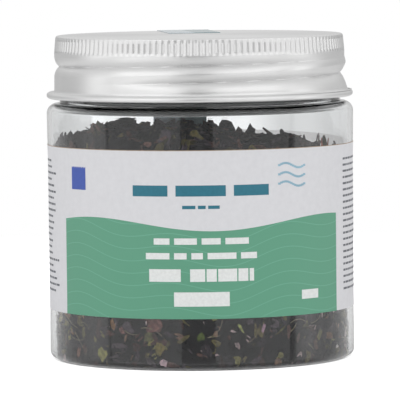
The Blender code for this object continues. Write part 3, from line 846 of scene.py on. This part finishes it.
def flake_masters(rng):
    """Torn, curled flakes, forked bits and crumbs, each modelled once, about 2 units across."""
    masters = []
    for kind in range(FLAKE_KINDS):
        bpy.ops.mesh.primitive_circle_add(vertices=9, radius=1.0, fill_type="TRIFAN")
        flake = bpy.context.object
        points = read_points(flake.data)
        slim = rng.uniform(0.45, 0.9) if kind % 4 else rng.uniform(0.25, 0.4)
        for i, p in enumerate(points):
            reach = rng.uniform(0.62, 1.12)
            p[0] *= reach
            p[1] *= reach * slim
        if kind % 5 == 2:
            points[np.argmax(points[:, 0])] *= 0.35
        curl, twist, ruffle = rng.uniform(0.15, 0.5), rng.uniform(-0.4, 0.4), rng.uniform(0.03, 0.1)
        points[:, 2] = curl * points[:, 1] ** 2 / slim + twist * points[:, 0] * points[:, 1]
        points[:, 2] += ruffle * np.sin(points[:, 0] * 7 + kind) - curl * 0.15 * points[:, 0] ** 2
        write_points(flake.data, points)
        solid = flake.modifiers.new("sheet", "SOLIDIFY")
        solid.thickness = 0.075
        solid.offset = 0.0
        split = flake.modifiers.new("cut", "TRIANGULATE")
        split.quad_method = "FIXED"
        apply_modifiers(flake)
        faces = np.array([tuple(p.vertices) for p in flake.data.polygons])
        masters.append((read_points(flake.data), faces))
        bpy.data.objects.remove(flake, do_unlink=True)
    return masters


# Kinds of flake: share of all flakes, darkest colour and lightest colour.
TINTS = (
    (0.42, (0.001, 0.001, 0.0015), (0.005, 0.004, 0.006)),
    (0.22, (0.014, 0.011, 0.015), (0.085, 0.070, 0.084)),
    (0.12, (0.034, 0.017, 0.016), (0.160, 0.085, 0.070)),
    (0.12, (0.040, 0.036, 0.014), (0.180, 0.158, 0.058)),
    (0.04, (0.130, 0.075, 0.045), (0.280, 0.170, 0.110)),
    (0.045, (0.160, 0.155, 0.045), (0.340, 0.330, 0.110)),
    (0.035, (0.420, 0.330, 0.330), (0.720, 0.620, 0.620)),
)


def pick_tint(rng, light_share=1.0):
    """A flake's colour; a share of light under 1 paints shade on it: a little darker, and never of the
    lightest kinds.
    """
    share = rng.random() * light_share
    for weight, low, high in TINTS:
        if share < weight:
            break
        share -= weight
    t = rng.random() ** 1.3
    return [light_share * (a + (b - a) * t) for a, b in zip(low, high)]


def tint_points(mesh, tints):
    layer = mesh.color_attributes.new("tint", "FLOAT_COLOR", "POINT")
    layer.data.foreach_set("color", np.asarray(tints, dtype=np.float32).ravel())


def gather(name, copies):
    """Join copies of the masters, each with its own points and tint, into one piece."""
    counts = [len(points) for points, faces, tint in copies]
    starts = np.cumsum([0] + counts[:-1])
    verts = np.concatenate([points for points, faces, tint in copies])
    faces = np.concatenate([copy[1] + start for copy, start in zip(copies, starts)])
    tints = np.repeat([[*tint, 1.0] for points, faces_of_one, tint in copies], counts, axis=0)
    mesh = bpy.data.meshes.new(name)
    mesh.from_pydata(verts.tolist(), [], faces.tolist())
    tint_points(mesh, tints)
    return add_object(name, mesh)


def turn_points(points, rng, lean_deg):
    """Turn a master by any angle in its plane, then lean it by up to lean_deg."""
    spin = Matrix.Rotation(rng.uniform(0, math.tau), 3, "Z")
    lean = Matrix.Rotation(math.radians(rng.uniform(-lean_deg, lean_deg)), 3, "X")
    second = Matrix.Rotation(rng.uniform(0, math.tau), 3, "Z")
    return points @ np.array(second @ lean @ spin).T


def wall_flake(rng, masters, angle, z, size, deep):
    """A flake that lies against the wall."""
    points, faces = rng.choice(masters)
    placed = turn_points(points * size / 2, rng, 20 + 30 * deep)
    placed[:, 2] -= placed[:, 2].max()
    height = np.maximum(z + placed[:, 1], FLOOR_LOW + FLAKE_CLEARANCE)
    radius = wall_limit(height) + placed[:, 2] - deep * 1.2 * MM
    bearing = angle + placed[:, 0] / INNER_RADIUS
    world = round_axis(radius, bearing, height)
    # Higher up the wall the flake's tint gets painted shade.
    return world, faces, pick_tint(rng, 1.0 if z < PAINTED_SHADE_FROM else LIGHT_SHARE_AT_WALL)


def heap_flake(rng, masters, x, y, size):
    """A flake that lies loose on the heap."""
    points, faces = rng.choice(masters)
    placed = turn_points(points * size / 2, rng, 22)
    lift = rng.uniform(-1.4, -0.4) * MM
    world = placed + np.array([x, y, float(heap_height(x, y)) + lift])
    radius = np.hypot(world[:, 0], world[:, 1])
    over = max(0.0, float((radius - wall_limit(world[:, 2])).max()))
    pull = 1 - over / max(math.hypot(x, y), 1e-6)
    world[:, :2] += np.array([x, y]) * (pull - 1)
    # Every flake on the heap's top gets painted shade in its tint.
    return world, faces, pick_tint(rng, LIGHT_SHARE_ON_TOP)


# Lighter bits that lie against the front wall: place across and height (mm), length (mm), width share,
# turn (degrees) and tint.
FRONT_BITS = (
    (-21.4, 10.6, 3.2, 0.5, 100, (0.2, 0.11, 0.05)),
    (-19.2, 9.3, 2.6, 0.5, 120, (0.22, 0.11, 0.1)),
    (-11.4, 10.4, 5.6, 0.6, 20, (0.17, 0.085, 0.075)),
    (-28.4, 8.2, 3.3, 0.5, 80, (0.1, 0.09, 0.035)),
    (-23.8, 3.4, 4.0, 0.85, 60, (0.24, 0.24, 0.07)),
    (-10.2, 5.0, 3.9, 0.7, 70, (0.2, 0.17, 0.05)),
    (-9.2, 1.9, 2.2, 0.9, -30, (0.55, 0.42, 0.46)),
    (-12.6, 7.8, 3.2, 0.8, 10, (0.12, 0.12, 0.05)),
    (-0.4, 7.9, 2.6, 0.8, 30, (0.09, 0.13, 0.03)),
    (-29.6, 3.3, 3.0, 0.6, 60, (0.18, 0.09, 0.07)),
    (14.7, 9.8, 3.2, 0.3, 70, (0.4, 0.26, 0.34)),
    (9.2, 9.8, 3.4, 0.22, 120, (0.35, 0.4, 0.12)),
    (32.2, 3.6, 1.2, 0.8, 20, (0.7, 0.68, 0.64)),
    (28.2, 7.2, 3.6, 0.45, 60, (0.16, 0.15, 0.06)),
    (20.6, 8.4, 4.2, 0.3, 85, (0.1, 0.05, 0.04)),
    (-33.8, 12.0, 4.2, 0.35, 80, (0.45, 0.42, 0.3)),
)


def front_bit(master, across, z, length, width, turn, tint):
    """A lighter flake that lies flat against the front wall."""
    points, faces = master
    flat = points.copy()
    flat[:, 1] *= width / max(np.abs(points[:, 1]).max(), 0.1)
    flat *= length * MM / 2
    spin = Matrix.Rotation(math.radians(turn), 3, "Z")
    flat = flat @ np.array(spin).T
    height = np.maximum(z * MM + flat[:, 1], FLOOR_LOW + FLAKE_CLEARANCE)
    radius = wall_limit(height) + (flat[:, 2] - flat[:, 2].max()) * 0.3
    bearing = -math.pi / 2 + math.asin(across * MM / INNER_RADIUS) + flat[:, 0] / INNER_RADIUS
    return round_axis(radius, bearing, height), faces, tint


# Slim bits that stand against the front wall on the right: place across, height and lean (mm), tint.
UPRIGHT_BITS = ((27.2, 5.3, 1.2, (0.03, 0.03, 0.03)), (28.3, 5.6, -0.1, (0.06, 0.045, 0.04)),
                (29.2, 4.4, -0.5, (0.3, 0.1, 0.07)), (30.1, 4.2, 0.9, (0.2, 0.08, 0.06)))


def upright_bit(master, across, height, lean, tint):
    """A slim flake that stands on its end against the wall."""
    points, faces = master
    foot = 50.0 * MM
    reach = points[:, 0].max() - points[:, 0].min()
    up = (points[:, 0] - points[:, 0].min()) / reach
    z = foot + up * height * MM
    bearing = -math.pi / 2 + math.asin(across * MM / INNER_RADIUS)
    side = points[:, 1] * 0.9 * MM + up * lean * MM
    radius = wall_limit(z) - 0.2 * MM - np.clip(points[:, 2], -0.3, 0.3) * 0.4 * MM
    return round_axis(radius, bearing + side / INNER_RADIUS, z), faces, tint


def make_core(material):
    """The dark inside of the heap, behind every flake."""
    top = HEAP_TOP
    outline = [(0, 1.9 * MM), (31.4 * MM, 1.9 * MM), (32.9 * MM, 0.8 * MM), (34.6 * MM, 0.8 * MM)]
    outline += [(CORE_RADIUS - 0.1 * MM, 1.3 * MM), (CORE_RADIUS, 2.2 * MM)]
    outline += stretch((CORE_RADIUS, 3.0 * MM), (CORE_RADIUS, top), 24)
    outline += stretch((CORE_RADIUS, top), (0, top), 24)
    core = turned("moss_core", outline, 120)
    points = read_points(core.data)
    bent_from = 40 * MM
    share = np.clip((points[:, 2] - bent_from) / (top - bent_from), 0, 1)
    points[:, 2] += share * (heap_height(points[:, 0], points[:, 1]) - 1.3 * MM - top)
    write_points(core.data, points)
    tint_points(core.data, [[*CORE_TINT, 1.0]] * len(core.data.vertices))
    shade_round(core, 40)
    give(core, material, "jar", "dried_seaweed")


def stem_path(length, heading, bend):
    """Middle of a curved stem: places along the wall and up it, and the way that it runs at each."""
    x = y = 0.0
    path = []
    for k in range(STEM_STEPS):
        way = heading + bend * k / STEM_STEPS
        path.append((x, y, way))
        x += length / STEM_STEPS * math.cos(way)
        y += length / STEM_STEPS * math.sin(way)
    return path


def stem_points(path, angle, z, thick):
    """Rings of points round a stem that lies against the wall."""
    points = []
    for k, (along, rise, way) in enumerate(path):
        taper = thick * (1 - 0.5 * k / STEM_STEPS)
        for s in range(STEM_SIDES):
            a = math.tau * s / STEM_SIDES
            out, side = taper * math.cos(a), taper * math.sin(a)
            height = max(z + rise + side * math.cos(way), FLOOR_LOW + FLAKE_CLEARANCE)
            radius = float(wall_limit(height)) - 0.15 * MM + out
            bearing = angle + (along - side * math.sin(way)) / INNER_RADIUS
            points.append((radius * math.cos(bearing), radius * math.sin(bearing), height))
    return np.array(points)


def stem_faces():
    """Sides and both ends of a stem."""
    faces = []
    for k in range(STEM_STEPS - 1):
        for s in range(STEM_SIDES):
            a, b = k * STEM_SIDES + s, k * STEM_SIDES + (s + 1) % STEM_SIDES
            faces += [(a, b, b + STEM_SIDES), (a, b + STEM_SIDES, a + STEM_SIDES)]
    end = (STEM_STEPS - 1) * STEM_SIDES
    for s in range(1, STEM_SIDES - 1):
        faces += [(0, s + 1, s), (end, end + s, end + s + 1)]
    return np.array(faces)


def make_stems(rng, material):
    """Thin pale bits of stem, curved, against the wall, most of them low."""
    faces = stem_faces()
    copies = []
    for i in range(STEMS):
        angle = rng.uniform(0, math.tau)
        low = rng.random() < 0.85
        z = rng.uniform(2.6, 12.5) * MM if low else rng.uniform(47, 50) * MM
        length = rng.uniform(2.5, 7.0 if low else 3.0) * MM
        thick = rng.uniform(0.06, 0.12) * MM
        heading, bend = rng.uniform(-0.9, 0.9), rng.uniform(-1.6, 1.6)
        points = stem_points(stem_path(length, heading, bend), angle, z, thick)
        glow = rng.uniform(0.3, 1.0)
        copies.append((points, faces, [c * glow for c in STEM_TINT]))
    give(gather("moss_stems", copies), material, "jar", "dried_seaweed")


def height_on_wall(rng, angle):
    """How high against the wall a flake lies: most are below the label, and many near the heap's top."""
    band = rng.random()
    if band < 0.62:
        return rng.uniform(0.4, 14.5) * MM
    if band < 0.8:
        return rng.uniform(14.5, 50) * MM
    edge = (CORE_RADIUS * math.cos(angle), CORE_RADIUS * math.sin(angle))
    return float(heap_height(*edge)) - rng.uniform(-0.6, 6.0) * MM


def make_wall_flakes(rng, masters, material):
    """Flakes against the wall, with the lighter and the upright ones at the front."""
    flakes = []
    for i in range(WALL_FLAKES):
        angle = rng.uniform(0, math.tau)
        z = height_on_wall(rng, angle)
        size = rng.uniform(1.8, 5.4) * MM
        flakes.append(wall_flake(rng, masters, angle, z, size, rng.random()))
    flakes += [front_bit(masters[1 + i % 3], *bit) for i, bit in enumerate(FRONT_BITS)]
    flakes += [upright_bit(masters[0], *bit) for bit in UPRIGHT_BITS]
    give(gather("moss_flakes_at_wall", flakes), material, "jar", "dried_seaweed", "moss_pieces")


def make_top_flakes(rng, masters, material):
    """Loose flakes all over the heap."""
    flakes = []
    for i in range(TOP_FLAKES):
        radius = (INNER_RADIUS - 0.8 * MM) * math.sqrt(rng.random())
        angle = rng.uniform(0, math.tau)
        size = rng.uniform(1.8, 4.4) * MM
        flakes.append(heap_flake(rng, masters, radius * math.cos(angle), radius * math.sin(angle), size))
    give(gather("moss_flakes_on_top", flakes), material, "jar", "dried_seaweed")


def make_moss():
    rng = random.Random(MOSS_SEED)
    material = dried_seaweed()
    make_core(material)
    masters = flake_masters(rng)
    make_wall_flakes(rng, masters, material)
    make_top_flakes(rng, masters, material)
    make_stems(rng, material)


# Studio.

def white_table():
    """White table top, bright for the camera where the jar doesn't stand, and shaded under the jar's foot."""
    material, nodes, links, shader = start_material("white_table")
    calc = partial(math_node, nodes, links)
    shader.inputs["Roughness"].default_value = 1.0
    shader.inputs["Specular IOR Level"].default_value = 0.0
    shader.inputs["Emission Color"].default_value = (1, 1, 1, 1)
    length = nodes.new("ShaderNodeVectorMath")
    length.operation = "LENGTH"
    links.new(object_place(nodes, links), length.inputs[0])
    from_middle = length.outputs["Value"]
    path = nodes.new("ShaderNodeLightPath")
    clear = calc("GREATER_THAN", from_middle, BODY_RADIUS - HEEL_RADIUS)
    seen = calc("MULTIPLY", path.outputs["Is Camera Ray"], FLOOR_GLOW)
    links.new(calc("MULTIPLY", clear, seen), shader.inputs["Emission Strength"])
    # Seen through the jar's foot it is in the jar's own shade.
    near = calc("LESS_THAN", from_middle, BODY_RADIUS + 8 * MM)
    shade = calc("MULTIPLY", near, path.outputs["Is Transmission Ray"])
    shaded = ramp(nodes, links, shade, [(0.0, (0.9, 0.9, 0.9)), (1.0, (0.4, 0.4, 0.41))])
    links.new(shaded, shader.inputs["Base Color"])
    return material


def make_floor():
    bpy.ops.mesh.primitive_circle_add(vertices=96, radius=FLOOR_RADIUS, fill_type="NGON",
                                      location=(0, 0, -0.0002))
    floor = bpy.context.object
    floor.name = "studio_floor"
    floor.data.materials.append(white_table())
    floor.visible_glossy = False


def room_colour(nodes, links, way):
    """The room that the jar mirrors: dark on the camera's side, bright at the sides, above and below."""
    calc = partial(math_node, nodes, links)
    toward_back = calc("ADD", calc("MULTIPLY", way.outputs["Y"], 0.5), 0.5)
    around = ramp(nodes, links, toward_back, [(place, (grey, grey, grey)) for place, grey in ROOM_AROUND])
    steep = calc("MULTIPLY", calc("SUBTRACT", calc("ABSOLUTE", way.outputs["Z"]), 0.13), 4.5)
    steep = calc("MINIMUM", calc("MAXIMUM", steep, 0.0), 1.0)
    return blend_colours(nodes, links, steep, around, ROOM_OVER_AND_UNDER)


def backdrop_brightness(nodes, links, way):
    """The backdrop that is looked at: white, and greyer through the jar, least in its middle."""
    calc = partial(math_node, nodes, links)
    path = nodes.new("ShaderNodeLightPath")
    from_left = calc("MULTIPLY", calc("ADD", way.outputs["X"], 0.057), 300.0)
    from_right = calc("MULTIPLY", calc("SUBTRACT", 0.034, way.outputs["X"]), 60.0)
    middle = calc("MINIMUM", calc("MINIMUM", from_left, from_right), 1.0)
    backdrop = calc("ADD", calc("MULTIPLY", calc("MAXIMUM", middle, 0.0), 0.3), 0.73)
    through = calc("MULTIPLY", path.outputs["Is Transmission Ray"], backdrop)
    return calc("MAXIMUM", path.outputs["Is Camera Ray"], through)


def make_world():
    """The backdrop for what is looked at, and the room for all that mirrors it or is lit by it."""
    world = bpy.data.worlds.new("studio_room")
    bpy.context.scene.world = world
    world.use_nodes = True
    nodes, links = world.node_tree.nodes, world.node_tree.links
    where = nodes.new("ShaderNodeTexCoord")
    way = nodes.new("ShaderNodeSeparateXYZ")
    links.new(where.outputs["Generated"], way.inputs["Vector"])
    seen = backdrop_brightness(nodes, links, way)
    looked_at = math_node(nodes, links, "GREATER_THAN", seen, 0.5)
    shown = nodes.new("ShaderNodeCombineColor")
    for channel in ("Red", "Green", "Blue"):
        links.new(seen, shown.inputs[channel])
    colour = blend_colours(nodes, links, looked_at, room_colour(nodes, links, way), shown.outputs["Color"])
    background = nodes["Background"]
    links.new(colour, background.inputs["Color"])
    background.inputs["Strength"].default_value = 1.0


def make_softbox(name, bearing_deg, width, height, power):
    """A soft light this far round the jar from the camera, aimed at the jar."""
    bearing = math.radians(bearing_deg)
    light = bpy.data.lights.new(name, "AREA")
    light.shape = "RECTANGLE"
    light.size, light.size_y = width, height
    light.energy = power
    holder = add_object(name, light)
    holder.location = (SOFTBOX_DISTANCE * math.sin(bearing), -SOFTBOX_DISTANCE * math.cos(bearing),
                       SOFTBOX_HEIGHT)
    aim = Vector((0, 0, SOFTBOX_AIM_HEIGHT)) - holder.location
    holder.rotation_euler = aim.to_track_quat("-Z", "Y").to_euler()
    holder.visible_camera = False
    holder.visible_transmission = False


def make_camera():
    data = bpy.data.cameras.new("photo_camera")
    data.lens = CAMERA_LENS_MM
    data.sensor_width = CAMERA_SENSOR_MM
    data.clip_start, data.clip_end = 0.05, 10.0
    data.shift_x, data.shift_y = CAMERA_SHIFT
    camera = add_object("photo_camera", data)
    camera.location = (0, -CAMERA_DISTANCE, CAMERA_HEIGHT)
    look = Matrix.Rotation(math.radians(90 - CAMERA_PITCH_DEG), 3, "X")
    roll = Matrix.Rotation(math.radians(-CAMERA_ROLL_DEG), 3, "Z")
    camera.rotation_euler = (look @ roll).to_euler()
    bpy.context.scene.camera = camera


def dress_liner():
    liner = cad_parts["lid_liner"]
    liner.data.materials.clear()
    liner.data.materials.append(liner_foam())


def main():
    deselect_all()
    bar_master = print_master()
    make_jar()
    make_lid()
    dress_liner()
    make_label()
    make_print(bar_master)
    make_strips()
    make_moss()
    make_floor()
    make_world()
    for name, place_and_power in SOFTBOXES.items():
        make_softbox(name, *place_and_power)
    make_camera()
    bpy.context.scene.view_settings.view_transform = "Standard"


main()
